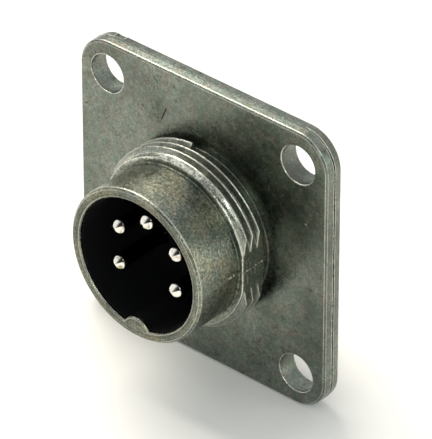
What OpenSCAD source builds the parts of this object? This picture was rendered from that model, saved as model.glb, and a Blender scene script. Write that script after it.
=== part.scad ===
// Square-flange panel connector with a threaded barrel and five pin contacts.
// The barrel points along -Y, +Z is up, and the origin is the centre of the
// flange's mounting face, which lies on the panel in the XZ plane.
// Each piece is drawn with the barrel along local +z and turned by along_barrel().

/* [Flange] */
// Width and height of the square flange
flange_size = 33; // [31:0.5:37]
// Thickness of the flange
flange_thickness = 2.3; // [1.8:0.1:3.5]
// Outline radius of the flange's corners
flange_corner_radius = 3.9; // [3:0.1:5]
// Small bevel along the flange's edges
flange_edge_break = 0.2; // [0.05:0.05:0.4]
// Taper of the flange's edges from the die's parting line to each face
flange_draft = 0.06; // [0:0.01:0.12]
// Distance from the flange's edges to the centre of a screw hole
hole_inset = 3.8; // [3.4:0.1:4.6]
// Diameter of the screw holes
hole_diameter = 4.4; // [3.2:0.1:4.6]
// Width of the parting seam sunk into the two side edges
seam_width = 0.18; // [0.1:0.02:0.3]
// Depth of the parting seam at the middle of a side
seam_depth = 0.25; // [0.1:0.05:0.5]
// Distance from the flange's top edge down to the bridge that interrupts the seam
seam_bridge_drop = 4.8; // [4.4:0.1:8]
// Length of that bridge
seam_bridge_length = 0.36; // [0.2:0.02:0.8]
// Width of the gate notch in the top edge
gate_width = 1.2; // [0.6:0.1:2]
// Depth of the gate notch
gate_depth = 0.3; // [0.1:0.05:0.6]
// Height of the gate notch above the mounting face
gate_height = 0.83; // [0.5:0.01:1.2]
// Distance from the flange's side edge to the middle of the gate notch
gate_inset = 4.1; // [4.1:0.1:8]

/* [Thread] */
// Outside diameter of the thread, which sets the size of the whole coupling
thread_diameter = 20; // [18:0.1:22]
// Pitch of the thread
thread_pitch = 1; // [0.9:0.05:1.1]
// Depth of the thread from crest to root
thread_depth = 0.61; // [0.5:0.01:0.65]
// Width of the flat on the thread's crest
crest_width = 0.14; // [0.08:0.02:0.2]
// Slope of each flank of the thread in degrees
flank_angle = 30; // [27:1:32]
// Distance from the flange's front face to the thread's front edge
thread_end = 4.25; // [4:0.05:5]
// Distance from the flange's front face to the crest where the thread begins
thread_start = 0.85; // [0.75:0.05:1.2]
// Distance from the last crest to the thread's front edge
thread_tail = 0.36; // [0.3:0.02:0.8]
// Direction in which the thread begins, from +X towards +Z
thread_start_angle = 93; // [0:1:360]
// Depth of the two cast flats below the thread's crest
flat_depth = 0.85; // [0.6:0.05:1]
// Depth of the plain neck behind the thread, below the thread's root
neck_depth = 0.49; // [0.3:0.01:0.55]
// Distance from the end of the neck to the first crest
neck_margin = 0.1; // [0.05:0.01:0.2]

/* [Barrel] */
// Distance from the flange's front face to the rim
barrel_length = 10.15; // [9.5:0.05:14]
// How far the smooth barrel lies below the thread's root
barrel_drop = 0.69; // [0.5:0.01:0.8]
// Wall of the barrel behind its lip
barrel_wall = 0.75; // [0.6:0.05:1]
// How far the lip that holds the insulator in stands out from the bore
lip_height = 0.35; // [0.25:0.05:0.5]
// Depth of the lip along the barrel
lip_depth = 0.4; // [0.3:0.05:0.8]
// Bevel on the outside of the rim
rim_bevel = 0.25; // [0.1:0.05:0.3]
// Bevel on the inside of the rim
lip_bevel = 0.12; // [0.05:0.01:0.2]
// Width of the key at its root, on the lip
key_width = 3.4; // [2.4:0.1:4]
// Height of the key above the lip
key_height = 1.15; // [0.8:0.05:1.3]

/* [Rear boss] */
// Wall of the boss that passes through the panel
boss_wall = 1; // [0.9:0.05:1.5]
// Length of the boss behind the mounting face
boss_length = 4.8; // [4.5:0.1:8]
// Bevel on the end of the boss
boss_bevel = 0.3; // [0.1:0.05:0.5]
// Step between the barrel's bore and the wider bore of the boss
bore_step_width = 0.35; // [0.25:0.05:0.5]
// Distance from the mounting face back to that step
bore_step = 0.9; // [0.5:0.1:1.2]
// Width of the key slot in the boss
key_slot_width = 2; // [1.5:0.1:3]
// Depth of the key slot in the boss
key_slot_depth = 0.45; // [0.3:0.05:0.5]

/* [Insulators] */
// Depth of the contact cavity below the rim
cavity_depth = 8.2; // [7:0.1:8.8]
// Wall of the cup that lines the barrel
cup_wall = 0.5; // [0.4:0.05:0.6]
// Thickness of the cup's floor
cup_floor = 3.6; // [3:0.1:4]
// How far the cup's key rib stands back from the lip's key
key_rib_step = 0.1; // [0.05:0.05:0.3]
// Gap around the insulators
insert_clearance = 0.05; // [0.02:0.01:0.1]
// Thickness of the rear insulator behind the bore step
rear_insert_flange = 2.3; // [2:0.1:2.6]

/* [Contacts] */
// Diameter of the contact pins
pin_diameter = 1.6; // [1.3:0.05:1.7]
// Diameter of the contacts' shank inside the front insulator
shank_diameter = 2; // [1.7:0.05:2.1]
// Distance from the barrel's bore to the centre of a contact
contact_inset = 3.55; // [3.2:0.05:3.9]
// Depth of the pins' ends below the rim
tip_recess = 1.2; // [0.5:0.05:1.5]
// Diameter of the collar that holds a contact in
collar_diameter = 2.7; // [2.4:0.1:3]
// Thickness of the collar
collar_thickness = 1; // [0.8:0.1:1.4]
// Diameter of the solder cup
cup_diameter = 2.1; // [1.9:0.05:2.2]
// Diameter of the hole in the solder cup
wire_diameter = 1.3; // [1.1:0.05:1.4]
// Depth of the hole in the solder cup
wire_depth = 3.4; // [3:0.1:4]
// Length of the open trough at the end of the solder cup
trough_length = 1.9; // [1:0.1:2.4]
// Length of the solder cup behind the rear insulator
solder_length = 4.6; // [4:0.1:6]
// Gap around the contacts in the insulators
contact_clearance = 0.03; // [0.01:0.01:0.06]

/* [Retaining ring] */
// Thickness of the snap ring
ring_thickness = 0.7; // [0.5:0.05:0.8]
// Width of the snap ring's band
ring_band = 0.95; // [0.8:0.05:1.1]
// Depth of the groove that the snap ring sits in
groove_depth = 0.45; // [0.35:0.05:0.5]
// Gap between the snap ring and its groove
ring_clearance = 0.05; // [0.02:0.01:0.1]
// Opening of the snap ring in degrees
ring_opening = 36; // [24:2:50]
// Diameter of the snap ring's two eyes
eye_diameter = 2; // [1.8:0.1:2.2]
// Diameter of the holes in the eyes
eye_hole_diameter = 1; // [0.8:0.1:1.2]

/* [Hidden] */
$fn = 96;
EPS = 0.01;
// Cutting shapes reach this far past what they cut.
OVER = 1;
// Degrees between two sections of the thread's ridge, and over which its end fades out.
RIDGE_STEP = 6;
RIDGE_RUNOUT = 12;
// How far the ridge's flanks and base end inside the thread's core and neck.
FLANK_SINK = 0.04;
BASE_SINK = 0.15;
// Directions of the contacts from +X towards +Z: five of six places, with none above the key.
CONTACT_ANGLES = [150, 90, 30, -30, 210];

flange_half = flange_size / 2;
corner_centre = flange_half - flange_corner_radius;
hole_centre = flange_half - hole_inset;
rim_z = flange_thickness + barrel_length;
lip_back = rim_z - lip_depth;

// Radii, from the thread's crest inwards and back out to the boss.
crest_r = thread_diameter / 2;
root_r = crest_r - thread_depth;
neck_r = root_r - neck_depth;
barrel_r = root_r - barrel_drop;
bore_r = barrel_r - barrel_wall;
mouth_r = bore_r - lip_height;
boss_bore_r = bore_r + bore_step_width;
boss_r = boss_bore_r + boss_wall;
contact_circle_r = bore_r - contact_inset;

// The neck widens to the thread's root behind the first crest.
neck_end = flange_thickness + thread_start - neck_margin;
root_begin = neck_end + neck_depth;
thread_front = flange_thickness + thread_end;
thread_turns = (thread_end - thread_start - thread_tail) / thread_pitch;

// The rear insulator's back face is where the snap ring bears.
cavity_floor = rim_z - cavity_depth;
insert_joint = cavity_floor - cup_floor;
insert_back = -bore_step - rear_insert_flange;
ring_back = insert_back - ring_thickness;
cup_outer_r = bore_r - insert_clearance;
cup_inner_r = cup_outer_r - cup_wall;
groove_r = boss_bore_r + groove_depth;
ring_outer_r = groove_r - ring_clearance;
pin_r = pin_diameter / 2;
tip_z = rim_z - tip_recess;

module along_barrel() {
    rotate([90, 0, 0]) children();
}

module at_contact(angle) {
    rotate(angle) translate([contact_circle_r, 0, 0]) rotate(-angle) children();
}

// ---- Flange ------------------------------------------------------------

// Section through a slab, from the axis outwards: widest at the parting line, with bevelled edges.
module slab_section(reach) {
    face = reach - flange_draft;
    polygon([
        [0, 0],
        [face - flange_edge_break, 0],
        [face, flange_edge_break],
        [reach, flange_thickness / 2],
        [face, flange_thickness - flange_edge_break],
        [face - flange_edge_break, flange_thickness],
        [0, flange_thickness]
    ]);
}

// One arm of the cross that fills the plate between its corners.
module flange_arm() {
    for (side = [0, 1])
        mirror([side, 0, 0])
            translate([0, corner_centre, 0])
                rotate([90, 0, 0])
                    linear_extrude(2 * corner_centre) slab_section(flange_half);
}

module flange_plate() {
    flange_arm();
    rotate(90) flange_arm();
    for (x = [-1, 1], y = [-1, 1])
        translate([x * corner_centre, y * corner_centre, 0])
            rotate_extrude() slab_section(flange_corner_radius);
}

module screw_holes() {
    for (x = [-1, 1], y = [-1, 1])
        translate([x * hole_centre, y * hole_centre, -OVER])
            cylinder(d = hole_diameter, h = flange_thickness + 2 * OVER);
}

// The seam's floor is as tall as the flange and narrower, so the seam runs out round the corners.
module side_seam() {
    floor_x = flange_half - seam_depth;
    floor_centre = floor_x - flange_corner_radius;
    reach = flange_size + 2 * OVER;
    cut = seam_width + 2 * OVER;
    translate([0, 0, flange_thickness / 2]) difference() {
        cube([reach, reach, seam_width], center = true);
        cube([2 * floor_x, 2 * corner_centre, cut], center = true);
        cube([2 * floor_centre, reach + OVER, cut], center = true);
        for (x = [-1, 1], y = [-1, 1])
            translate([x * floor_centre, y * corner_centre, 0])
                cylinder(r = flange_corner_radius, h = cut, center = true);
        translate([0, flange_half - seam_bridge_drop, 0])
            cube([reach + OVER, seam_bridge_length, cut], center = true);
    }
}

module gate_notch() {
    translate([gate_inset - flange_half - gate_width / 2, flange_half - gate_depth, -OVER])
        cube([gate_width, gate_depth + OVER, OVER + gate_height]);
}

// ---- Barrel and thread -------------------------------------------------

// Half section of everything turned about the barrel's axis, apart from the thread.
module barrel_section() {
    polygon([
        [boss_bore_r, -boss_length],
        [boss_r - boss_bevel, -boss_length],
        [boss_r, -boss_length + boss_bevel],
        [boss_r, EPS],
        [neck_r, EPS],
        [neck_r, neck_end],
        [barrel_r, neck_end],
        [barrel_r, rim_z - rim_bevel],
        [barrel_r - rim_bevel, rim_z],
        [mouth_r + lip_bevel, rim_z],
        [mouth_r, rim_z - lip_bevel],
        [mouth_r, lip_back],
        [bore_r, lip_back],
        [bore_r, -bore_step],
        [boss_bore_r, -bore_step],
        [boss_bore_r, insert_back],
        [groove_r, insert_back],
        [groove_r, ring_back - ring_clearance],
        [boss_bore_r, ring_back - ring_clearance]
    ]);
}

// Half section of the thread's core.
module core_section() {
    inner = (bore_r + barrel_r) / 2;
    polygon([
        [inner, neck_end - EPS],
        [neck_r, neck_end - EPS],
        [neck_r, neck_end],
        [root_r, root_begin],
        [root_r, thread_front],
        [inner, thread_front]
    ]);
}

// Everything in front of this section is cut off the thread by its lead-in bevel.
module blank_section() {
    polygon([
        [0, flange_thickness],
        [crest_r + OVER, flange_thickness],
        [crest_r + OVER, thread_front - thread_depth - OVER],
        [root_r, thread_front],
        [0, thread_front]
    ]);
}

function ridge_ring(angle, z, tip_r) = let(
    foot = root_r - FLANK_SINK,
    base = neck_r - BASE_SINK,
    half_crest = crest_width / 2,
    half_foot = half_crest + (crest_r - foot) * tan(flank_angle)
) [for (p = [[base, -half_foot], [foot, -half_foot], [tip_r, -half_crest],
             [tip_r, half_crest], [foot, half_foot], [base, half_foot]])
    [p[0] * cos(angle), p[0] * sin(angle), z + p[1]]];

// The ridge of the thread: one profile carried along a right-hand helix.
module thread_ridge() {
    sweep = 360 * thread_turns;
    rings = ceil(sweep / RIDGE_STEP);
    points = [for (i = [0:rings]) let(
        turn = min(i * RIDGE_STEP, sweep),
        fade = min(1, (sweep - turn) / RIDGE_RUNOUT)
    ) each ridge_ring(
        thread_start_angle + turn,
        flange_thickness + thread_start + thread_pitch * turn / 360,
        root_r + thread_depth * fade
    )];
    sides = 6;
    skin = [for (i = [0:rings - 1], k = [0:sides - 1]) let(
        a = i * sides + k,
        b = i * sides + (k + 1) % sides
    ) [a, b, b + sides, a + sides]];
    first = [for (k = [sides - 1:-1:0]) k];
    last = [for (k = [0:sides - 1]) rings * sides + k];
    polyhedron(points, concat(skin, [first, last]));
}

module thread() {
    intersection() {
        union() {
            rotate_extrude() core_section();
            thread_ridge();
        }
        rotate_extrude() blank_section();
        translate([flat_depth - crest_r, -crest_r - OVER, flange_thickness - OVER])
            cube([2 * (crest_r - flat_depth), 2 * (crest_r + OVER), thread_end + 2 * OVER]);
    }
}

// The key's round nose, standing up from the bottom of the mouth, with its front edge bevelled.
module key_nose(shrink, depth, bevel) {
    half = key_width / 2 - shrink;
    top = key_height - shrink;
    nose_r = (half * half + top * top) / (2 * top);
    translate([0, top - mouth_r - nose_r, 0]) {
        cylinder(r = nose_r, h = depth - bevel);
        translate([0, 0, depth - bevel]) cylinder(r1 = nose_r, r2 = nose_r - bevel, h = bevel);
    }
}

module lip_key() {
    translate([0, 0, lip_back]) intersection() {
        key_nose(0, lip_depth, lip_bevel);
        cylinder(r = (mouth_r + lip_bevel + barrel_r - rim_bevel) / 2, h = lip_depth);
    }
}

// Slot in the top of the boss that stops the insulators turning.
module boss_key_slot() {
    translate([-key_slot_width / 2, 0, -boss_length - OVER])
        cube([key_slot_width, boss_bore_r + key_slot_depth, boss_length + OVER - bore_step]);
}

module shell() {
    color("#7d8677") along_barrel() {
        difference() {
            union() {
                difference() {
                    flange_plate();
                    translate([0, 0, -OVER])
                        cylinder(r = (neck_r + bore_r) / 2, h = flange_thickness + 2 * OVER);
                    screw_holes();
                    side_seam();
                    gate_notch();
                }
                rotate_extrude() barrel_section();
            }
            boss_key_slot();
        }
        thread();
        lip_key();
    }
}

// ---- Insulators --------------------------------------------------------

// The front insulator's floor holds the pins, and its thin skirt lines the barrel up to the lip.
module front_insulator() {
    color("#141414") along_barrel() difference() {
        union() {
            rotate_extrude() polygon([
                [0, insert_joint],
                [cup_outer_r, insert_joint],
                [cup_outer_r, lip_back],
                [cup_inner_r, lip_back],
                [cup_inner_r, cavity_floor],
                [0, cavity_floor]
            ]);
            translate([0, 0, cavity_floor - EPS]) intersection() {
                key_nose(key_rib_step, lip_back - cavity_floor + EPS, 0);
                cylinder(r = (cup_inner_r + cup_outer_r) / 2, h = lip_back - cavity_floor + EPS);
            }
        }
        for (angle = CONTACT_ANGLES)
            at_contact(angle) translate([0, 0, insert_joint - OVER])
                cylinder(d = shank_diameter + 2 * contact_clearance, h = cup_floor + 2 * OVER);
    }
}

// The rear insulator closes the pockets that hold the contacts' collars.
module rear_insulator() {
    seat_r = boss_bore_r - insert_clearance;
    seat_front = -bore_step - insert_clearance;
    tab_width = key_slot_width - 2 * insert_clearance;
    color("#1d1b19") along_barrel() difference() {
        union() {
            rotate_extrude() polygon([
                [0, insert_back],
                [seat_r, insert_back],
                [seat_r, seat_front],
                [cup_outer_r, seat_front],
                [cup_outer_r, insert_joint],
                [0, insert_joint]
            ]);
            translate([-tab_width / 2, 0, insert_back])
                cube([tab_width, seat_r + key_slot_depth, rear_insert_flange - insert_clearance]);
        }
        for (angle = CONTACT_ANGLES)
            at_contact(angle) {
                translate([0, 0, insert_back - OVER])
                    cylinder(d = cup_diameter + 2 * contact_clearance,
                             h = insert_joint - insert_back + 2 * OVER);
                translate([0, 0, insert_joint - collar_thickness])
                    cylinder(d = collar_diameter + 2 * contact_clearance, h = collar_thickness + OVER);
            }
    }
}

// ---- Contacts ----------------------------------------------------------

// A turned contact: pin with a round end, thicker shank, collar, and solder cup behind.
module contact(angle) {
    round_z = tip_z - pin_r;
    cup_end = insert_back - solder_length;
    color("#c9c6bd") along_barrel() at_contact(angle) difference() {
        union() {
            translate([0, 0, cavity_floor]) cylinder(r = pin_r, h = round_z - cavity_floor);
            translate([0, 0, round_z]) sphere(pin_r);
            translate([0, 0, insert_joint]) cylinder(d = shank_diameter, h = cup_floor);
            translate([0, 0, insert_joint - collar_thickness])
                cylinder(d = collar_diameter, h = collar_thickness);
            translate([0, 0, cup_end])
                cylinder(d = cup_diameter, h = insert_joint - collar_thickness - cup_end);
        }
        translate([0, 0, cup_end - OVER]) cylinder(d = wire_diameter, h = wire_depth + OVER);
        translate([-cup_diameter, 0, cup_end - OVER])
            cube([2 * cup_diameter, cup_diameter, trough_length + OVER]);
    }
}

// ---- Retaining ring ----------------------------------------------------

// An internal snap ring behind the rear insulator, open at the bottom, with an eye at each end.
module snap_ring() {
    inner_r = ring_outer_r - ring_band;
    eye_centre_r = boss_bore_r - eye_diameter / 2 - 2 * ring_clearance;
    eye_angle = ring_opening / 2 + asin(eye_diameter / 2 / eye_centre_r);
    color("#8d8d8a") along_barrel() translate([0, 0, ring_back]) difference() {
        union() {
            rotate(ring_opening / 2 - 90) rotate_extrude(angle = 360 - ring_opening)
                translate([inner_r, 0]) square([ring_band, ring_thickness]);
            for (side = [-1, 1])
                rotate(side * eye_angle - 90) translate([eye_centre_r, 0, 0])
                    cylinder(d = eye_diameter, h = ring_thickness);
        }
        for (side = [-1, 1])
            rotate(side * eye_angle - 90) translate([eye_centre_r, 0, -OVER])
                cylinder(d = eye_hole_diameter, h = ring_thickness + 2 * OVER);
    }
}

shell();
front_insulator();
rear_insulator();
contact(CONTACT_ANGLES[0]);  // contact_1
contact(CONTACT_ANGLES[1]);  // contact_2
contact(CONTACT_ANGLES[2]);  // contact_3
contact(CONTACT_ANGLES[3]);  // contact_4
contact(CONTACT_ANGLES[4]);  // contact_5
snap_ring();
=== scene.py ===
"""Looks of a square-flange panel connector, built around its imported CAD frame.

The barrel points along -Y, +Z is up and the flange's mounting face lies in the XZ plane through the
origin. Lengths in this file are in millimetres unless a name says otherwise, and become metres
where a mesh or a shader takes them.
"""
import logging
import math
from dataclasses import dataclass, field
from enum import Enum
from typing import Any

import bpy
import numpy as np
from mathutils import Matrix, Vector

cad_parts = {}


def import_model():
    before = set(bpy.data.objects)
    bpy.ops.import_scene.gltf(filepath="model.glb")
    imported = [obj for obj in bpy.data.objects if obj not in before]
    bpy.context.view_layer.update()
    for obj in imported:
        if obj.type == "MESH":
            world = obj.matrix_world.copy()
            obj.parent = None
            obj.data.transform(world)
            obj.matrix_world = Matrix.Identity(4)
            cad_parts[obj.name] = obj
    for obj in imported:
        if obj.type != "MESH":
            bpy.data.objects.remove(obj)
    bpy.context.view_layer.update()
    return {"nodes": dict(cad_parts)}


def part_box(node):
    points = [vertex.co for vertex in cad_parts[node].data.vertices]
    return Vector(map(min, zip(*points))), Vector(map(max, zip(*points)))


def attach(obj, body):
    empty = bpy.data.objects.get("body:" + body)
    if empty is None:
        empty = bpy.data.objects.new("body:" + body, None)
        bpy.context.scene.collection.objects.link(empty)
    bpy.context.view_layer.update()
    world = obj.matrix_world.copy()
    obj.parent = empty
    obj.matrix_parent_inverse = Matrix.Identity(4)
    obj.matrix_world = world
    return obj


LOG = logging.getLogger("connector")
MM = 0.001
ROOT = "root"
NOISE_SPAN = (0.3, 0.7)  # Most of a noise pattern lies between these values.
Array = np.ndarray
Socket = bpy.types.NodeSocket
Span = tuple[float, float]
Place = tuple[float, float, float]


class Slot(Enum):
    """The record's material slots."""

    CASTING = "zinc_casting"
    MOULDING = "black_moulding"
    CONTACT = "plated_contact"
    SPRING = "spring_steel"


class Side(Enum):
    """The two sides of the barrel where the die's halves meet, by their direction in degrees."""

    RIGHT = 1.3
    LEFT = 181.3


class Lumps(Enum):
    """The casting's noise patterns: lump size in millimetres, detail and roughness of the detail.

    Die-cast grain is finer than GRAIN, which is drawn coarser so that it shows.
    """

    GRAIN = (0.24, 4.0, 0.72)
    SPECK = (0.5, 3.0, 0.7)
    BLOTCH = (0.8, 3.0, 0.6)
    RUB = (0.9, 3.0, 0.5)
    TINT = (1.3, 4.0, 0.6)
    SOIL = (1.4, 3.0, 0.5)
    YELLOWING = (2.6, 3.0, 0.5)
    SPREAD = (3.6, 2.0, 0.5)
    PATCH = (5.0, 5.0, 0.65)


def linear(hex_colour: str) -> tuple[float, float, float, float]:
    """Turn an sRGB hex colour into the linear RGBA that shaders take.

    Args:
        hex_colour: A colour such as "#8a9284".

    Returns:
        Linear red, green, blue and an alpha of 1.
    """
    digits = hex_colour.lstrip("#")
    srgb = np.array([int(digits[i:i + 2], 16) / 255 for i in (0, 2, 4)])
    rgb = np.where(srgb <= 0.04045, srgb / 12.92, ((srgb + 0.055) / 1.055) ** 2.4)
    return (float(rgb[0]), float(rgb[1]), float(rgb[2]), 1.0)


def add(tree: bpy.types.NodeTree, kind: str, inputs: dict[Any, Any] | tuple[Any, ...] = (),
        out: int | str = 0, **settings: Any) -> Socket | None:
    """Add one node, set its properties and fill or link its inputs.

    Args:
        tree: The node tree to add to.
        kind: The node's type name, without the ShaderNode prefix.
        inputs: Values, or the output sockets that feed them. A tuple fills the inputs in order, and a
            dictionary fills those that its keys name or number.
        out: Name or number of the output that is handed back.
        **settings: Properties of the node itself.

    Returns:
        The chosen output socket, or None where the node has no output.
    """
    node = tree.nodes.new("ShaderNode" + kind)
    for name, value in settings.items():
        setattr(node, name, value)
    for key, value in inputs.items() if isinstance(inputs, dict) else enumerate(inputs):
        if isinstance(value, Socket):
            tree.links.new(value, node.inputs[key])
        else:
            node.inputs[key].default_value = value
    return node.outputs[out] if node.outputs else None


class Shader:
    """A new material with an empty tree, and the place on the object in millimetres."""

    def __init__(self, name: str) -> None:
        """Make the material and the coordinates that its patterns follow.

        Args:
            name: The material's name.
        """
        self.material = bpy.data.materials.new(name)
        self.material.use_nodes = True
        self.tree = self.material.node_tree
        self.tree.nodes.clear()
        place = add(self.tree, "TexCoord", out="Object")
        self.place = add(self.tree, "VectorMath", {0: place, "Scale": 1.0 / MM}, operation="SCALE")
        self.x, self.y, self.z = (add(self.tree, "SeparateXYZ", (self.place,), out=i) for i in range(3))


class CastingShader(Shader):
    """The casting's tree, with the patterns and distances that its masks share."""

    def __init__(self, name: str) -> None:
        """Make the material, its noise patterns, and the distances from the barrel's axis and midplane.

        Args:
            name: The material's name.
        """
        super().__init__(name)
        self.lumps = {lump: add(self.tree, "TexNoise", {"Vector": self.place, "Scale": 1.0 / lump.value[0],
                                                        "Detail": lump.value[1], "Roughness": lump.value[2]})
                      for lump in Lumps}
        across = add(self.tree, "VectorMath", (self.place, (1.0, 0.0, 1.0)), operation="MULTIPLY")
        self.radius = add(self.tree, "VectorMath", (across,), "Value", operation="LENGTH")
        self.beside = add(self.tree, "Math", (self.x,), operation="ABSOLUTE")


@dataclass(frozen=True)
class Mark:
    """One scratch, dent, burr, area of painted shade or painted highlight: a straight stroke between two
    places.

    Its strength is the share of its full effect.
    """

    start: Place
    end: Place
    half_width: float
    strength: float = 1.0


@dataclass(frozen=True)
class ZincCasting:
    """Zinc alloy pressure die casting, tumbled and thinly plated.

    Dull grey-green and blotchy under a coarse speckle, with dark brown painted shade in crevices and
    beside edges, and rubbed bright and a little chipped along its edges, with a painted highlight there
    too. A span holds two values of a pattern, two places in millimetres or two turns of the thread, and
    an effect grows from the first to the second.
    """

    light: str = "#7b837b"
    dark: str = "#5b645c"
    pink: str = "#7a6d64"
    green: str = "#586b57"
    brown: str = "#4a3f33"
    olive: str = "#8b8973"
    pale_painted_light: str = "#a3a89c"
    grime_and_shade: str = "#231f1a"
    worn_and_highlight: str = "#eeeee2"

    # Stains of the skin.
    light_span: Span = (0.36, 0.64)
    pink_span: Span = (0.48, 0.68)
    pink_share: float = 0.55
    green_span: Span = (0.5, 0.32)
    green_share: float = 0.45
    olive_span: Span = (0.4, 0.6)
    olive_share: Span = (0.1, 0.6)
    brown_span: Span = (0.56, 0.66)
    brown_spread: Span = (0.42, 0.6)
    brown_share: float = 0.75
    speckle_span: Span = (0.34, 0.66)
    flange_speckle: Span = (0.6, 1.4)
    barrel_speckle: Span = (0.2, 2.0)
    barrel_y: Span = (-6.4, -7.2)

    # Painted light that lightens the neck, and the thread in front of it.
    neck_y: Span = (-3.5, -3.2)
    neck_share: Span = (0.4, 1.0)
    neck_inner_radius: Span = (9.0, 9.1)
    neck_outer_radius: Span = (10.1, 10.02)
    neck_front_y: Span = (-6.5, -6.4)
    neck_back_y: Span = (-2.3, -2.36)

    # Grime in pits, painted shade in crevices, a painted dark reflection beside edges, and darkening in the
    # thread's valleys.
    crevice_shade_mm: float = 0.8
    crevice_shade_air: Span = (0.5, 0.1)
    crevice_shade_share: float = 0.4
    pit_mm: float = 1.7
    pit_reach: Span = (0.09, 0.03)
    pit_span: Span = (0.4, 0.6)
    beside_edge_shade_mm: float = 0.45
    beside_shade_span: Span = (0.42, 0.56)
    beside_shade_share: float = 0.6
    valley_dark_span: Span = (0.35, 0.62)
    valley_dark_share: Span = (0.22, 0.65)
    thread_begin_y: float = -3.15
    thread_begin_angle: float = 93.0
    thread_pitch: float = 1.0
    valley_outer_radius: Span = (9.95, 9.84)
    valley_inner_radius: Span = (9.1, 9.3)
    valley_flat_x: Span = (9.12, 9.07)
    valley_first_turn: Span = (-1.0, -0.9)
    valley_last_turn: Span = (2.06, 1.96)

    # Rubbed wear and painted highlight on the edges and on top of the thread's front shoulder, and rubbing
    # of the rim.
    edge_mm: float = 0.25
    edge_turned: Span = (0.98, 0.91)
    edge_ragged: Span = (-0.05, 0.05)
    rub_and_highlight_air: Span = (0.6, 0.85)
    rub_and_highlight_grain: Span = (0.38, 0.52)
    rub_and_highlight_blotch: Span = (0.36, 0.5)
    rub_and_highlight_share: Span = (0.45, 1.0)
    band_grain: Span = (0.4, 0.56)
    band_grain_share: Span = (0.1, 0.85)
    band_rub_and_highlight: Span = (0.34, 0.56)
    band_rub_share: Span = (0.25, 1.0)
    band_back_y: Span = (-5.5, -5.7)
    band_front_y: Span = (-6.6, -6.55)
    band_radius: Span = (9.0, 9.25)
    band_z: Span = (4.0, 8.0)
    rim_y: Span = (-12.4, -12.44)
    ring_mm: float = 1 / 7  # The rubbed rings are finer, and are drawn coarser so that they show.
    ring_span: Span = (0.35, 0.65)
    ring_shade: Span = (0.42, 0.85)

    # The seam round the flange's outline: a dark joint, with painted shadow added on the side edges.
    seam_y: float = -1.15
    seam_span: Span = (0.38, 0.5)
    seam_half_width: Span = (0.013, 0.156)
    seam_blur: Span = (0.02, -0.02)
    seam_side_x: Span = (15.1, 16.1)
    seam_share: Span = (0.35, 0.95)
    outline: Span = (15.1, 15.2)

    roughness: Span = (0.19, 0.33)
    grime_and_shade_roughness: float = 0.25
    bump_mm: float = 0.03
    bump_strength: float = 0.7

    # Scratches and dents, broad areas of painted shade that darken the flange, and a painted highlight on a
    # speck. A mark's border runs between these shares of its half width.
    sunk_marks: tuple[Mark, ...] = (
        Mark((-5.35, -2.3, 10.3), (-4.75, -2.3, 11.8), 0.07),
        Mark((12.46, -2.3, 0.6), (12.49, -2.3, -0.95), 0.04, 0.6),
        Mark((10.97, -2.3, 13.35), (10.99, -2.3, 13.4), 0.09),
        Mark((9.25, -2.3, 2.55), (9.3, -2.3, 2.6), 0.1, 0.7),
        Mark((10.7, -2.3, -6.6), (10.95, -2.3, -6.8), 0.12, 0.6),
        Mark((12.5, -2.3, -7.5), (12.65, -2.3, -7.7), 0.09, 0.7),
        Mark((16.5, -2.25, -10.7), (16.5, -2.25, -10.9), 0.14),
        Mark((-1.95, -0.05, 16.5), (-1.7, -0.1, 16.5), 0.1),
    )
    painted_shade_areas: tuple[Mark, ...] = (
        Mark((-12.0, -2.3, 14.5), (-7.0, -2.3, 13.0), 3.0, 0.25),
        Mark((12.0, -2.3, 11.0), (15.5, -2.3, 2.0), 3.4, 0.32),
        Mark((15.5, -2.3, 1.0), (15.5, -2.3, -5.0), 3.0, 0.22),
    )
    # Painted highlight on a speck: it is only drawn bright, not raised.
    raised_speck_highlights: tuple[Mark, ...] = (Mark((13.75, -2.3, 6.05), (13.8, -2.3, 6.05), 0.08),)
    mark_border: Span = (1.3, 0.5)

    def build(self) -> bpy.types.Material:
        """Make the material: the skin with painted shade, then grime and painted shade, then rubbed places
        with painted highlight, then relief and gloss.

        Returns:
            The material.
        """
        sh = CastingShader("dull plated zinc die casting")
        tree, grain, blotch = sh.tree, sh.lumps[Lumps.GRAIN], sh.lumps[Lumps.BLOTCH]
        rounded = add(tree, "Bevel", {"Radius": self.edge_mm * MM}, samples=8)
        beside = add(tree, "Bevel", {"Radius": self.beside_edge_shade_mm * MM}, samples=6)
        open_air = add(tree, "AmbientOcclusion", {"Distance": self.crevice_shade_mm * MM}, "AO", samples=8)

        # The rim's front is rubbed in rings round the barrel's axis.
        rim = add(tree, "MapRange", (sh.y, *self.rim_y))
        turning = add(tree, "TexNoise", {"W": sh.radius, "Scale": 1.0 / self.ring_mm, "Detail": 3.0},
                      noise_dimensions="1D")
        rings = add(tree, "MapRange", (turning, *self.ring_span, 0.0, rim))
        ring_shade = add(tree, "MapRange", (turning, *self.ring_span, *self.ring_shade))
        shade = add(tree, "MapRange", (rim, 0.0, 1.0, 1.0, ring_shade))
        # Painted shade: broad areas of the flange are darkened.
        shade = add(tree, "MapRange", (self._strokes(sh, self.painted_shade_areas), 0.0, 1.0, shade, 0.0))
        colour = add(tree, "VectorMath", {0: self._skin(sh), "Scale": shade}, operation="SCALE")

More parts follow.
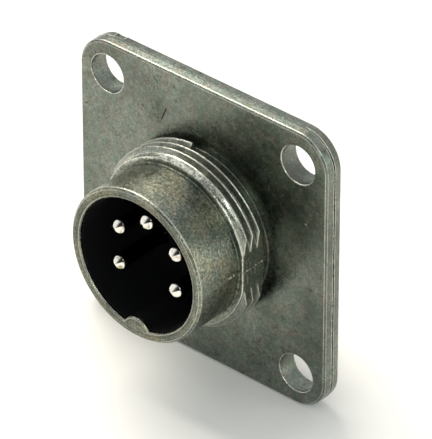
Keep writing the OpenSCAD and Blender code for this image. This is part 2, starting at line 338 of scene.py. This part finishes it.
        seam = self._seam(sh)
        sunk = self._strokes(sh, self.sunk_marks)
        pits = add(tree, "TexVoronoi", {"Vector": sh.place, "Scale": 1.0 / self.pit_mm}, "Distance")
        pits = add(tree, "MapRange", (pits, *self.pit_reach))
        grimy_and_shaded = sunk
        for mask in (seam, self._thread_valley(sh),
                     # Painted shade: crevices that the ambient occlusion finds are darkened.
                     add(tree, "MapRange", (open_air, *self.crevice_shade_air, 0.0, self.crevice_shade_share)),
                     add(tree, "MapRange", (blotch, *self.pit_span, 0.0, pits)),
                     # Painted reflection: a dark band beside each edge, as a rounded edge mirrors a dark
                     # room.
                     self._edge(sh, beside, add(tree, "MapRange", (blotch, *self.beside_shade_span, 0.0,
                                                                   self.beside_shade_share)))):
            grimy_and_shaded = add(tree, "Math", (grimy_and_shaded, mask), operation="MAXIMUM")
        # Real grime and painted shade share this dark colour.
        colour = add(tree, "Mix", {0: grimy_and_shaded, 6: colour, 7: linear(self.grime_and_shade)}, 2, data_type="RGBA")

        # Rubbed wear and painted highlight: the edges, a speck and the top of the thread's front shoulder
        # are lightened to nearly white.
        rubbing_and_highlight = add(tree, "MapRange", (grain, *self.rub_and_highlight_grain, *self.rub_and_highlight_share))
        rubbing_and_highlight = add(tree, "MapRange", (open_air, *self.rub_and_highlight_air, 0.0, rubbing_and_highlight))
        patchy = add(tree, "MapRange", (blotch, *self.rub_and_highlight_blotch, *self.rub_and_highlight_share))
        rubbing_and_highlight = add(tree, "Math", (rubbing_and_highlight, patchy), operation="MULTIPLY")
        rubbed_and_highlit = self._edge(sh, rounded, rubbing_and_highlight)
        for mask in (self._strokes(sh, self.raised_speck_highlights), self._shoulder_rub_and_highlight(sh)):
            rubbed_and_highlit = add(tree, "Math", (rubbed_and_highlit, mask), operation="MAXIMUM")
        colour = add(tree, "Mix", {0: rubbed_and_highlit, 6: colour, 7: linear(self.worn_and_highlight)}, 2, data_type="RGBA")

        height = add(tree, "Math", (grain, rings), operation="ADD")
        for hollow in (pits, sunk, seam):
            height = add(tree, "Math", (height, hollow), operation="SUBTRACT")
        normal = add(tree, "Bump", {"Height": height, "Strength": self.bump_strength,
                                    "Distance": self.bump_mm * MM, "Normal": rounded})
        rough = add(tree, "MapRange", (blotch, *NOISE_SPAN, *self.roughness))
        rough = add(tree, "Math", (grimy_and_shaded, self.grime_and_shade_roughness, rough), operation="MULTIPLY_ADD")
        metal = add(tree, "BsdfPrincipled", {"Base Color": colour, "Metallic": 1.0, "Roughness": rough,
                                             "Normal": normal})
        add(tree, "OutputMaterial", {"Surface": metal})
        return sh.material

    def _skin(self, sh: CastingShader) -> Socket:
        """Light and dark patches with pink, green, olive and brown stains and painted light on the neck,
        speckled by the grain.

        The barrel is yellower and more speckled than the flange.

        Args:
            sh: The casting's shader.

        Returns:
            The colour.
        """
        tree, lumps = sh.tree, sh.lumps
        barrel = add(tree, "MapRange", (sh.y, *self.barrel_y))
        spread = add(tree, "MapRange", (lumps[Lumps.SPREAD], *self.brown_spread, 0.0, self.brown_share))
        olive = add(tree, "MapRange", (lumps[Lumps.YELLOWING], *self.olive_span, *self.olive_share))
        stains = (
            (self.light, add(tree, "MapRange", (lumps[Lumps.PATCH], *self.light_span))),
            (self.pink, add(tree, "MapRange", (lumps[Lumps.TINT], *self.pink_span, 0.0, self.pink_share))),
            (self.green, add(tree, "MapRange", (lumps[Lumps.BLOTCH], *self.green_span, 0.0,
                                                self.green_share))),
            (self.olive, add(tree, "MapRange", (barrel, 0.0, 1.0, 0.0, olive))),
            # Painted light: the neck and the thread are lightened.
            (self.pale_painted_light, self._neck_painted_light(sh)),
            (self.brown, add(tree, "MapRange", (lumps[Lumps.SPECK], *self.brown_span, 0.0, spread))),
        )
        colour: Any = linear(self.dark)
        for stain, share in stains:
            colour = add(tree, "Mix", {0: share, 6: colour, 7: linear(stain)}, 2, data_type="RGBA")
        darkest, lightest = (add(tree, "MapRange", (barrel, 0.0, 1.0, *ends))
                             for ends in zip(self.flange_speckle, self.barrel_speckle))
        speckle = add(tree, "MapRange", (lumps[Lumps.GRAIN], *self.speckle_span, darkest, lightest))
        return add(tree, "VectorMath", {0: colour, "Scale": speckle}, operation="SCALE")

    def _edge(self, sh: CastingShader, rounded: Socket, strength: Socket) -> Socket:
        """Mask of the surface within reach of an edge, ragged by the grain.

        It grows to its strength as the dot product of the rounded normal and the true one falls.

        Args:
            sh: The casting's shader.
            rounded: The normal of the surface with its edges rounded over the mask's reach.
            strength: The mask's greatest value.

        Returns:
            The mask.
        """
        tree = sh.tree
        normal = add(tree, "NewGeometry", out="Normal")
        turned = add(tree, "VectorMath", (rounded, normal), "Value", operation="DOT_PRODUCT")
        ragged = add(tree, "MapRange", (sh.lumps[Lumps.GRAIN], *NOISE_SPAN, *self.edge_ragged))
        turned = add(tree, "Math", (turned, ragged), operation="ADD")
        return add(tree, "MapRange", (turned, *self.edge_turned, 0.0, strength))

    def _thread_valley(self, sh: CastingShader) -> Socket:
        """Mask that darkens the thread's valleys: between two crests of the helix and below them.

        With turn the share of a turn past the thread's beginning, the helix's crests lie where
        (thread_begin_y - y) / thread_pitch - turn is a whole number, and the last crest is the third.

        Args:
            sh: The casting's shader.

        Returns:
            The mask.
        """
        tree = sh.tree
        angle = add(tree, "Math", (sh.z, sh.x), operation="ARCTAN2")
        turn = add(tree, "Math", (angle, math.radians(self.thread_begin_angle)), operation="SUBTRACT")
        turn = add(tree, "Math", (turn, 2 * math.pi), operation="DIVIDE")
        turn = add(tree, "Math", (turn,), operation="FRACT")
        along = add(tree, "Math", (self.thread_begin_y, sh.y), operation="SUBTRACT")
        along = add(tree, "Math", (along, self.thread_pitch), operation="DIVIDE")
        step = add(tree, "Math", (along, turn), operation="SUBTRACT")
        mask = add(tree, "MapRange", (sh.lumps[Lumps.SOIL], *self.valley_dark_span, *self.valley_dark_share))
        for value, span in ((sh.radius, self.valley_outer_radius), (sh.radius, self.valley_inner_radius),
                            (sh.beside, self.valley_flat_x), (step, self.valley_last_turn),
                            (step, self.valley_first_turn)):
            mask = add(tree, "MapRange", (value, *span, 0.0, mask))
        return mask

    def _neck_painted_light(self, sh: CastingShader) -> Socket:
        """Mask of painted light on the neck and, less, on the thread.

        Args:
            sh: The casting's shader.

        Returns:
            The mask.
        """
        mask = add(sh.tree, "MapRange", (sh.y, *self.neck_y, *self.neck_share))
        for value, span in ((sh.radius, self.neck_inner_radius), (sh.radius, self.neck_outer_radius),
                            (sh.y, self.neck_front_y), (sh.y, self.neck_back_y)):
            mask = add(sh.tree, "MapRange", (value, *span, 0.0, mask))
        return mask

    def _shoulder_rub_and_highlight(self, sh: CastingShader) -> Socket:
        """Mask of the rough bright band along the top of the thread's front shoulder: rubbed wear with a
        painted highlight.

        Args:
            sh: The casting's shader.

        Returns:
            The mask.
        """
        tree = sh.tree
        mask = add(tree, "MapRange", (sh.lumps[Lumps.GRAIN], *self.band_grain, *self.band_grain_share))
        patchy = add(tree, "MapRange", (sh.lumps[Lumps.RUB], *self.band_rub_and_highlight, *self.band_rub_share))
        mask = add(tree, "Math", (mask, patchy), operation="MULTIPLY")
        for value, span in ((sh.y, self.band_back_y), (sh.y, self.band_front_y),
                            (sh.radius, self.band_radius), (sh.z, self.band_z)):
            mask = add(tree, "MapRange", (value, *span, 0.0, mask))
        return mask

    def _seam(self, sh: CastingShader) -> Socket:
        """Mask of the dark broken line where the die's halves met, round the flange's outline.

        It is strong on the two side edges, darkened there with painted shadow of the halves' step, and faint
        on the top and bottom ones.

        Args:
            sh: The casting's shader.

        Returns:
            The mask.
        """
        tree = sh.tree
        up = add(tree, "Math", (sh.z,), operation="ABSOLUTE")
        reach = add(tree, "Math", (sh.beside, up), operation="MAXIMUM")
        off = add(tree, "Math", (sh.y, self.seam_y), operation="SUBTRACT")
        off = add(tree, "Math", (off,), operation="ABSOLUTE")
        width = add(tree, "MapRange", (sh.lumps[Lumps.BLOTCH], *self.seam_span, *self.seam_half_width))
        off = add(tree, "Math", (off, width), operation="SUBTRACT")
        mask = add(tree, "MapRange", (sh.beside, *self.seam_side_x, *self.seam_share))
        mask = add(tree, "MapRange", (reach, *self.outline, 0.0, mask))
        return add(tree, "MapRange", (off, *self.seam_blur, 0.0, mask))

    def _strokes(self, sh: CastingShader, marks: tuple[Mark, ...]) -> Socket:
        """Mask of straight strokes with soft borders.

        A place's share along a stroke is its projection on the stroke's line, held between 0 and 1,
        and its distance is taken from the point of the stroke at that share.

        Args:
            sh: The casting's shader.
            marks: The strokes.

        Returns:
            The greatest of the strokes' masks at each place.
        """
        tree = sh.tree
        mask: Any = 0.0
        for mark in marks:
            stroke = np.array(mark.end) - np.array(mark.start)
            away = add(tree, "VectorMath", (sh.place, mark.start), operation="SUBTRACT")
            share = add(tree, "VectorMath", (away, tuple(stroke / (stroke @ stroke))), "Value",
                        operation="DOT_PRODUCT")
            share = add(tree, "MapRange", (share,))
            near = add(tree, "VectorMath", {0: tuple(stroke), "Scale": share}, operation="SCALE")
            off = add(tree, "VectorMath", (away, near), "Value", operation="DISTANCE")
            border = (reach * mark.half_width for reach in self.mark_border)
            one = add(tree, "MapRange", (off, *border, 0.0, mark.strength))
            mask = add(tree, "Math", (mask, one), operation="MAXIMUM")
        return mask


@dataclass(frozen=True)
class BlackMoulding:
    """Black moulded phenolic: matt, so that the inside of the mouth stays almost black."""

    colour: str = "#090a0b"
    roughness: Span = (0.72, 0.88)
    specular: float = 0.1
    grain_mm: float = 0.3
    bump_mm: float = 0.01
    bump_strength: float = 0.2

    def build(self) -> bpy.types.Material:
        """Make the material, with a faint moulded grain.

        Returns:
            The material.
        """
        sh = Shader("matt black phenolic moulding")
        grain = add(sh.tree, "TexNoise", {"Vector": sh.place, "Scale": 1.0 / self.grain_mm})
        rough = add(sh.tree, "MapRange", (grain, *NOISE_SPAN, *self.roughness))
        normal = add(sh.tree, "Bump", {"Height": grain, "Strength": self.bump_strength,
                                       "Distance": self.bump_mm * MM})
        plastic = add(sh.tree, "BsdfPrincipled", {"Base Color": linear(self.colour), "Roughness": rough,
                                                  "Specular IOR Level": self.specular, "Normal": normal})
        add(sh.tree, "OutputMaterial", {"Surface": plastic})
        return sh.material


@dataclass(frozen=True)
class PlatedContact:
    """Bright silver plating on turned brass: nearly a mirror, and dark where it has tarnished.

    The shaft behind the end, and a band across the groove behind the tip, are darkened nearly to black
    with painted shade. The reaches of the shaft, the groove and the cone are measured back from the tip.
    """

    bright: str = "#ebe9e2"
    tarnish: str = "#a39a78"
    tarnish_span: Span = (0.5, 0.68)
    rough_span: Span = (0.35, 0.7)
    roughness: Span = (0.06, 0.18)
    along_rings: float = 0.3
    stain_mm: float = 0.6
    facet_mm: float = 0.45
    bump_mm: float = 0.04
    cone_slope: float = 26.0
    cone_reach: Span = (0.7, 0.55)
    cone_share: float = 0.75
    groove_front: Span = (0.5, 0.58)
    groove_back: Span = (0.74, 0.66)
    groove_share: float = 0.8
    shaft_reach: Span = (0.8, 1.3)
    shaft_end_y: Span = (-3.9, -4.0)
    painted_shade_share: float = 0.06

    def build(self, name: str, axis_x: float, axis_z: float, tip_y: float) -> bpy.types.Material:
        """Make the material for one contact.

        The rings' direction at a place is (-dz, 0, dx), with dx and dz its distances from the
        contact's own axis, so it runs round the pin's side and round its end alike. The tool left
        the round end as a flat cone, so its normal leans to (sin(s) * dx / r, -cos(s), sin(s) * dz / r),
        with s the cone's slope.

        Args:
            name: The contact's name.
            axis_x: X of its axis in millimetres.
            axis_z: Z of its axis in millimetres.
            tip_y: Y of its front end in millimetres.

        Returns:
            The material.
        """
        sh = Shader(f"silver plated turned brass, {name}")
        tree = sh.tree
        off_x = add(tree, "Math", (sh.x, axis_x), operation="SUBTRACT")
        off_z = add(tree, "Math", (sh.z, axis_z), operation="SUBTRACT")
        back_z = add(tree, "Math", (axis_z, sh.z), operation="SUBTRACT")
        rings = add(tree, "CombineXYZ", {0: back_z, 2: off_x})
        rings = add(tree, "VectorMath", (rings,), operation="NORMALIZE")
        shaft_y, front_y, back_y, cone_y = (
            tuple(tip_y + reach for reach in span)
            for span in (self.shaft_reach, self.groove_front, self.groove_back, self.cone_reach))

        stain = add(tree, "TexNoise", {"Vector": sh.place, "Scale": 1.0 / self.stain_mm})
        share = add(tree, "MapRange", (stain, *self.tarnish_span))
        colour = add(tree, "Mix", {0: share, 6: linear(self.bright), 7: linear(self.tarnish)}, 2,
                     data_type="RGBA")
        # Painted shade: the shaft and a band behind the tip are darkened nearly to black.
        shaft = add(tree, "MapRange", (sh.y, *shaft_y))
        shaft = add(tree, "MapRange", (sh.y, *self.shaft_end_y, 0.0, shaft))
        groove = add(tree, "MapRange", (sh.y, *front_y, 0.0, self.groove_share))
        groove = add(tree, "MapRange", (sh.y, *back_y, 0.0, groove))
        black = add(tree, "Math", (shaft, groove), operation="MAXIMUM")
        black = add(tree, "MapRange", (black, 0.0, 1.0, 1.0, self.painted_shade_share))
        colour = add(tree, "VectorMath", {0: colour, "Scale": black}, operation="SCALE")
        rough = add(tree, "MapRange", (stain, *self.rough_span, *self.roughness))

        facets = add(tree, "TexNoise", {"Vector": sh.place, "Scale": 1.0 / self.facet_mm, "Detail": 1.0})
        uneven = add(tree, "Bump", {"Height": facets, "Distance": self.bump_mm * MM})
        slope = math.radians(self.cone_slope)
        outward = add(tree, "CombineXYZ", {0: off_x, 2: off_z})
        outward = add(tree, "VectorMath", (outward,), operation="NORMALIZE")
        outward = add(tree, "VectorMath", {0: outward, "Scale": math.sin(slope)}, operation="SCALE")
        cone = add(tree, "VectorMath", (outward, (0.0, -math.cos(slope), 0.0)), operation="ADD")
        end = add(tree, "MapRange", (sh.y, *cone_y, 0.0, self.cone_share))
        normal = add(tree, "Mix", {0: end, 4: uneven, 5: cone}, 1, data_type="VECTOR")
        normal = add(tree, "VectorMath", (normal,), operation="NORMALIZE")
        metal = add(tree, "BsdfPrincipled", {"Base Color": colour, "Metallic": 1.0, "Roughness": rough,
                                             "Anisotropic": self.along_rings, "Tangent": rings,
                                             "Normal": normal})
        add(tree, "OutputMaterial", {"Surface": metal})
        return sh.material


@dataclass(frozen=True)
class SpringSteel:
    """Stamped spring steel strip: grey, slightly oily, with a rolled grain drawn coarser than it is."""

    colour: str = "#77787a"
    shade: Span = (0.85, 1.1)
    roughness: Span = (0.28, 0.42)
    grain_mm: float = 0.15
    bump_mm: float = 0.01
    bump_strength: float = 0.3

    def build(self) -> bpy.types.Material:
        """Make the material.

        Returns:
            The material.
        """
        sh = Shader("stamped spring steel")
        grain = add(sh.tree, "TexNoise", {"Vector": sh.place, "Scale": 1.0 / self.grain_mm})
        rough = add(sh.tree, "MapRange", (grain, *NOISE_SPAN, *self.roughness))
        shade = add(sh.tree, "MapRange", (grain, *NOISE_SPAN, *self.shade))
        colour = add(sh.tree, "VectorMath", {0: linear(self.colour)[:3], "Scale": shade}, operation="SCALE")
        normal = add(sh.tree, "Bump", {"Height": grain, "Strength": self.bump_strength,
                                       "Distance": self.bump_mm * MM})
        metal = add(sh.tree, "BsdfPrincipled", {"Base Color": colour, "Metallic": 1.0, "Roughness": rough,
                                                "Normal": normal})
        add(sh.tree, "OutputMaterial", {"Surface": metal})
        return sh.material


@dataclass(frozen=True)
class StudioWhite:
    """White studio floor: diffuse, so that it keeps the soft shadow of what stands on it."""

    colour: str = "#f4f4f2"

    def build(self) -> bpy.types.Material:
        """Make the material.

        Returns:
            The material.
        """
        material = bpy.data.materials.new("white studio floor")
        material.use_nodes = True
        tree = material.node_tree
        tree.nodes.clear()
        surface = add(tree, "BsdfDiffuse", {"Color": linear(self.colour)})
        add(tree, "OutputMaterial", {"Surface": surface})
        return material


def dress(node: bpy.types.Object, material: bpy.types.Material) -> None:
    """Give a carried-over node one material.

    Args:
        node: The node's object.
        material: Its new material.
    """
    node.data.materials.clear()
    node.data.materials.append(material)


def swept_mesh(name: str, path: Array, across: Array, up: Array, half_width: Array, height: Array,
               sides: int = 10) -> bpy.types.Object:
    """Carry an oval profile along a path, as one closed tube that comes to a point at both ends.

    A point of the surface is path(s) + across(s) * half_width(s) * cos(t) + up(s) * height(s) * sin(t),
    with s along the path and t round the profile. The path's own ends are the two poles. The faces
    are turned outwards by the sign of the volume that they enclose, the sum of a . (b x c) / 6.

    Args:
        name: Name of the new object.
        path: Points along the path, shape (n, 3), in millimetres.
        across: Unit vectors across the path at each point.
        up: Unit vectors out of the surface that the tube lies on.
        half_width: Half of the tube's width at each point.
        height: Height of the tube above the path at each point.
        sides: Number of points round the profile.

    Returns:
        The new object, linked to the scene.
    """
    turn = np.arange(sides) / sides * 2 * math.pi
    ring = (across[:, None, :] * (half_width[:, None] * np.cos(turn))[:, :, None]
            + up[:, None, :] * (height[:, None] * np.sin(turn))[:, :, None])
    rings = (path[:, None, :] + ring)[1:-1]
    points = np.concatenate([rings.reshape(-1, 3), path[[0, -1]]]) * MM
    k = np.arange(sides)
    after = (k + 1) % sides
    near = np.arange(len(rings) - 1)[:, None] * sides
    far = near + sides
    last, poles = (len(rings) - 1) * sides, len(rings) * sides
    faces = np.concatenate([
        np.stack([near + k, near + after, far + after], axis=-1).reshape(-1, 3),
        np.stack([near + k, far + after, far + k], axis=-1).reshape(-1, 3),
        np.stack([np.full(sides, poles), after, k], axis=-1),
        np.stack([np.full(sides, poles + 1), last + k, last + after], axis=-1),
    ])
    a, b, c = (points[faces[:, corner]] for corner in range(3))
    if np.einsum("ij,ij->", a, np.cross(b, c)) < 0.0:
        faces = faces[:, ::-1]
    mesh = bpy.data.meshes.new(name)
    mesh.from_pydata(points.tolist(), [], faces.tolist())
    mesh.update()
    mesh.polygons.foreach_set("use_smooth", np.ones(len(mesh.polygons), bool))
    piece = bpy.data.objects.new(name, mesh)
    bpy.context.scene.collection.objects.link(piece)
    return piece


@dataclass
class CastShell:
    """The die-cast shell, and the flash and burrs that the die left on the sides of its barrel.

    A ripple is its share of the height and its rate, in radians per millimetre of the flash and over
    the length of a burr. The flash's path is given by its distances from the axis and its places in Y.
    """

    finish: ZincCasting = field(default_factory=ZincCasting)
    flash_half_width: float = 0.11
    flash_height: float = 0.09
    flash_step: float = 0.05
    flash_fade: float = 0.4
    flash_least: float = 0.15
    flash_even: float = 0.3
    flash_ripples: tuple[Span, ...] = ((0.35, 2.3), (0.3, 5.9), (0.25, 13.7))
    flash_path: tuple[Span, ...] = ((8.9, -2.3), (8.9, -3.05), (9.15, -3.3), (9.15, -6.5), (8.7, -6.58),
                                    (8.7, -8.3))
    burr_points: int = 40
    burr_level: float = 0.6
    burr_ripples: tuple[Span, ...] = ((0.3, 19.0), (0.2, 41.0))
    burr_phase: float = 7.0
    burr_blunt: float = 0.3
    burrs: tuple[Mark, ...] = (
        Mark((9.15, -6.42, 1.9), (9.15, -6.36, 0.35), 0.05),
        Mark((9.15, -6.38, -0.1), (9.15, -6.44, -1.7), 0.06),
        Mark((9.15, -5.95, 1.3), (9.15, -5.9, 0.5), 0.04),
        Mark((9.15, -5.85, -0.2), (9.15, -5.8, -1.4), 0.05),
        Mark((9.15, -5.3, 1.0), (9.15, -5.25, -0.7), 0.04),
        Mark((9.15, -4.7, 0.5), (9.15, -4.68, -0.9), 0.035),
    )

    def build(self, nodes: dict[str, bpy.types.Object]) -> list[str]:
        """Dress the shell and lay a line of flash down each side of the barrel.

        Args:
            nodes: The frame's nodes by name.

        Returns:
            Names of the pieces that were dressed or made.
        """
        material = self.finish.build()
        dress(nodes["shell"], material)
        names = ["shell"]
        pieces = [self._flash(side) for side in Side]
        for sign, label in ((1.0, "right"), (-1.0, "left")):
            pieces += [self._burr(f"burr_{label}_{i}", burr, sign) for i, burr in enumerate(self.burrs, 1)]
        for piece in pieces:
            piece.data.materials.append(material)
            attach(piece, ROOT)
            names.append(piece.name)
        return names

    def _burr(self, name: str, burr: Mark, side: float) -> bpy.types.Object:
        """A low ragged ridge along one stroke on a flat.

        With s the share of its length, its height is the sum of a level and of sines of s, times
        sin(pi * s) to a power well below 1, so that it rises steeply at both ends.

        Args:
            name: The new piece's name.
            burr: The stroke, on the right side.
            side: 1 on the right and -1 on the left.

        Returns:
            The new object.
        """
        share = np.linspace(0.0, 1.0, self.burr_points)[:, None]
        path = np.array(burr.start) * (1.0 - share) + np.array(burr.end) * share
        path = path * np.array([side, 1.0, 1.0])
        tangent = (path[-1] - path[0]) / np.linalg.norm(path[-1] - path[0])
        out = np.array([side, 0.0, 0.0])
        across = np.cross(tangent, out)
        share = share[:, 0]
        (first, first_rate), (second, second_rate) = self.burr_ripples
        wave = (self.burr_level + first * np.sin(first_rate * share + self.burr_phase * path[0, 1])
                + second * np.sin(second_rate * share)) * np.sin(math.pi * share) ** self.burr_blunt
        return swept_mesh(name, path, np.broadcast_to(across, path.shape), np.broadcast_to(out, path.shape),
                          burr.half_width * wave, burr.half_width * wave)

    def _flash(self, side: Side) -> bpy.types.Object:
        """One line of flash, carried along flash_path in the half plane at the side's angle.

        Its height varies along the path as the sum of three sines, and fades to nothing at both ends.

        Args:
            side: The side of the barrel.

        Returns:
            The new object.
        """
        corners = np.array(self.flash_path)
        lengths = np.hypot(*np.diff(corners, axis=0).T)
        stations = np.concatenate([[0.0], np.cumsum(lengths)])
        along = np.linspace(0.0, stations[-1], int(stations[-1] / self.flash_step))
        radius = np.interp(along, stations, corners[:, 0])
        depth = np.interp(along, stations, corners[:, 1])
        angle = math.radians(side.value)
        out = np.array([math.cos(angle), 0.0, math.sin(angle)])
        path = out * radius[:, None] + np.array([0.0, 1.0, 0.0]) * depth[:, None]
        tangent = np.gradient(path, axis=0)
        tangent /= np.linalg.norm(tangent, axis=1, keepdims=True)
        across = np.broadcast_to(np.array([-out[2], 0.0, out[0]]), path.shape)
        up = np.cross(across, tangent)
        up *= np.sign((up @ out) + (up @ np.array([0.0, -0.5, 0.0])))[:, None]
        wave = np.ones(len(along))
        for (height, rate), phase in zip(self.flash_ripples, (angle, 1.0, 2.0)):
            wave = wave + height * np.sin(rate * along + phase)
        fade = np.clip(np.minimum(along, along[-1] - along) / self.flash_fade, 0.0, 1.0)
        wave = np.maximum(wave, self.flash_least) * fade
        return swept_mesh(f"parting_flash_{side.name.lower()}", path, across, up,
                          self.flash_half_width * (self.flash_even * fade + (1.0 - self.flash_even) * wave),
                          self.flash_height * wave)


@dataclass
class Insulators:
    """The two black insulators that carry the contacts."""

    finish: BlackMoulding = field(default_factory=BlackMoulding)
    names: tuple[str, ...] = ("front_insulator", "rear_insulator")

    def build(self, nodes: dict[str, bpy.types.Object]) -> list[str]:
        """Dress both insulators.

        Args:
            nodes: The frame's nodes by name.

        Returns:
            Names of the insulators.
        """
        material = self.finish.build()
        for name in self.names:
            dress(nodes[name], material)
        return list(self.names)


@dataclass
class ContactSet:
    """The turned pin contacts."""

    finish: PlatedContact = field(default_factory=PlatedContact)
    prefix: str = "contact_"

    def build(self, nodes: dict[str, bpy.types.Object]) -> list[str]:
        """Dress every contact with a material that turns round its own axis.

        Args:
            nodes: The frame's nodes by name.

        Returns:
            Names of the contacts.
        """
        names = sorted(name for name in nodes if name.startswith(self.prefix))
        for name in names:
            low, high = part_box(name)
            middle = (low + high) / 2 / MM
            dress(nodes[name], self.finish.build(name, middle.x, middle.z, low.y / MM))
        return names


@dataclass
class SnapRing:
    """The ring that holds the insulators in the shell."""

    finish: SpringSteel = field(default_factory=SpringSteel)

    def build(self, nodes: dict[str, bpy.types.Object]) -> list[str]:
        """Dress the ring and return its name."""
        dress(nodes["snap_ring"], self.finish.build())
        return ["snap_ring"]


@dataclass(frozen=True)
class Lamp:
    """A square soft box that faces the origin: its centre, its side, its power in watts and its colour."""

    name: str
    place: Place
    size: float
    power: float
    colour: str


@dataclass
class Studio:
    """Pale floor, soft lamps and the camera.

    The studio has one unlit side, around the direction dark_side.
    """

    azimuth: float = 41.084
    elevation: float = 34.364
    distance: float = 548.0
    aim_right: float = 1.442
    aim_up: float = 0.374
    lens: float = 442.7
    flange_thickness: float = 2.3
    floor_size: float = 1600.0
    floor_finish: StudioWhite = field(default_factory=StudioWhite)
    world_light: float = 0.6
    unlit: float = 0.02
    dark_side: Place = (0.38, -0.88, 0.28)
    dark_span: Span = (0.7, 0.92)
    clip: Span = (50.0, 5000.0)
    lamps: tuple[Lamp, ...] = (
        Lamp("key", (-270.0, 70.0, 390.0), 320.0, 2.5, "#fff7ea"),
        Lamp("fill", (360.0, -380.0, 320.0), 200.0, 1.0, "#f4fbf5"),
        Lamp("side", (430.0, 150.0, 60.0), 200.0, 0.28, "#f2fbf3"),
    )

    def build(self, lowest: float) -> None:
        """Make the floor, the world, the lamps and the camera.

        Args:
            lowest: Z of the floor, in millimetres.
        """
        self._floor(lowest)
        self._world()
        for lamp in self.lamps:
            self._light(lamp)
        self._camera()

    def _floor(self, lowest: float) -> None:
        """A square floor under the object.

        Args:
            lowest: Z of the floor, in millimetres.
        """
        half = self.floor_size / 2
        corners = np.array([[-half, -half], [half, -half], [half, half], [-half, half]])
        points = np.column_stack([corners, np.full(4, lowest)]) * MM
        mesh = bpy.data.meshes.new("floor")
        mesh.from_pydata(points.tolist(), [], [[0, 1, 2, 3]])
        mesh.materials.append(self.floor_finish.build())
        floor = bpy.data.objects.new("floor", mesh)
        bpy.context.scene.collection.objects.link(floor)

    def _world(self) -> None:
        """Pale surroundings, plain white to the eye, with the studio's unlit side as gloss sees it.

        Gloss sees white too, but almost black around the direction dark_side: its brightness falls
        as the dot product of the ray's direction with dark_side grows along dark_span.
        """
        world = bpy.data.worlds.new("studio")
        bpy.context.scene.world = world
        world.use_nodes = True
        tree = world.node_tree
        tree.nodes.clear()
        way = add(tree, "TexCoord", out="Generated")
        toward = Vector(self.dark_side).normalized()
        facing = add(tree, "VectorMath", (way, toward), "Value", operation="DOT_PRODUCT")
        gloss = add(tree, "MapRange", (facing, *self.dark_span, 1.0, self.unlit))
        strength = add(tree, "MapRange", (add(tree, "LightPath", out="Is Glossy Ray"), 0.0, 1.0,
                                          self.world_light, gloss))
        for seen in ("Is Camera Ray", "Is Transmission Ray"):
            strength = add(tree, "Math", (strength, add(tree, "LightPath", out=seen)), operation="MAXIMUM")
        light = add(tree, "Background", {"Color": linear("#ffffff"), "Strength": strength})
        add(tree, "OutputWorld", {"Surface": light})

    def _light(self, lamp: Lamp) -> None:
        """Place one lamp, turned towards the origin.

        Args:
            lamp: The lamp's settings.
        """
        data = bpy.data.lights.new(lamp.name, "AREA")
        data.shape = "SQUARE"
        data.size = lamp.size * MM
        data.energy = lamp.power
        data.color = linear(lamp.colour)[:3]
        light = bpy.data.objects.new(lamp.name, data)
        light.location = Vector(lamp.place) * MM
        light.rotation_euler = (-light.location).to_track_quat("-Z", "Y").to_euler()
        bpy.context.scene.collection.objects.link(light)

    def _camera(self) -> None:
        """A long lens from the upper right, aimed close to the middle of the flange's front."""
        turn, rise = math.radians(self.azimuth), math.radians(self.elevation)
        back = Vector((math.sin(turn) * math.cos(rise), -math.cos(turn) * math.cos(rise), math.sin(rise)))
        right = Vector((math.cos(turn), math.sin(turn), 0.0))
        up = back.cross(right)
        aim = Vector((0.0, -self.flange_thickness, 0.0)) + right * self.aim_right + up * self.aim_up
        data = bpy.data.cameras.new("camera")
        data.lens = self.lens
        data.clip_start, data.clip_end = (place * MM for place in self.clip)
        camera = bpy.data.objects.new("camera", data)
        camera.matrix_world = (Matrix.Translation((aim + back * self.distance) * MM)
                               @ Matrix((right, up, back)).transposed().to_4x4())
        bpy.context.scene.collection.objects.link(camera)
        bpy.context.scene.camera = camera


def main() -> None:
    """Load the frame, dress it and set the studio."""
    logging.basicConfig(level=logging.INFO, format="%(name)s: %(message)s")
    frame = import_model()
    nodes = frame["nodes"]
    bpy.context.scene.view_settings.view_transform = "Standard"

    shell_low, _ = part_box("shell")
    for assembly in (CastShell(), Insulators(), ContactSet(), SnapRing()):
        for name in assembly.build(nodes):
            LOG.info("dressed %s", name)
    Studio().build(shell_low.z / MM)


if __name__ == "__main__":
    main()
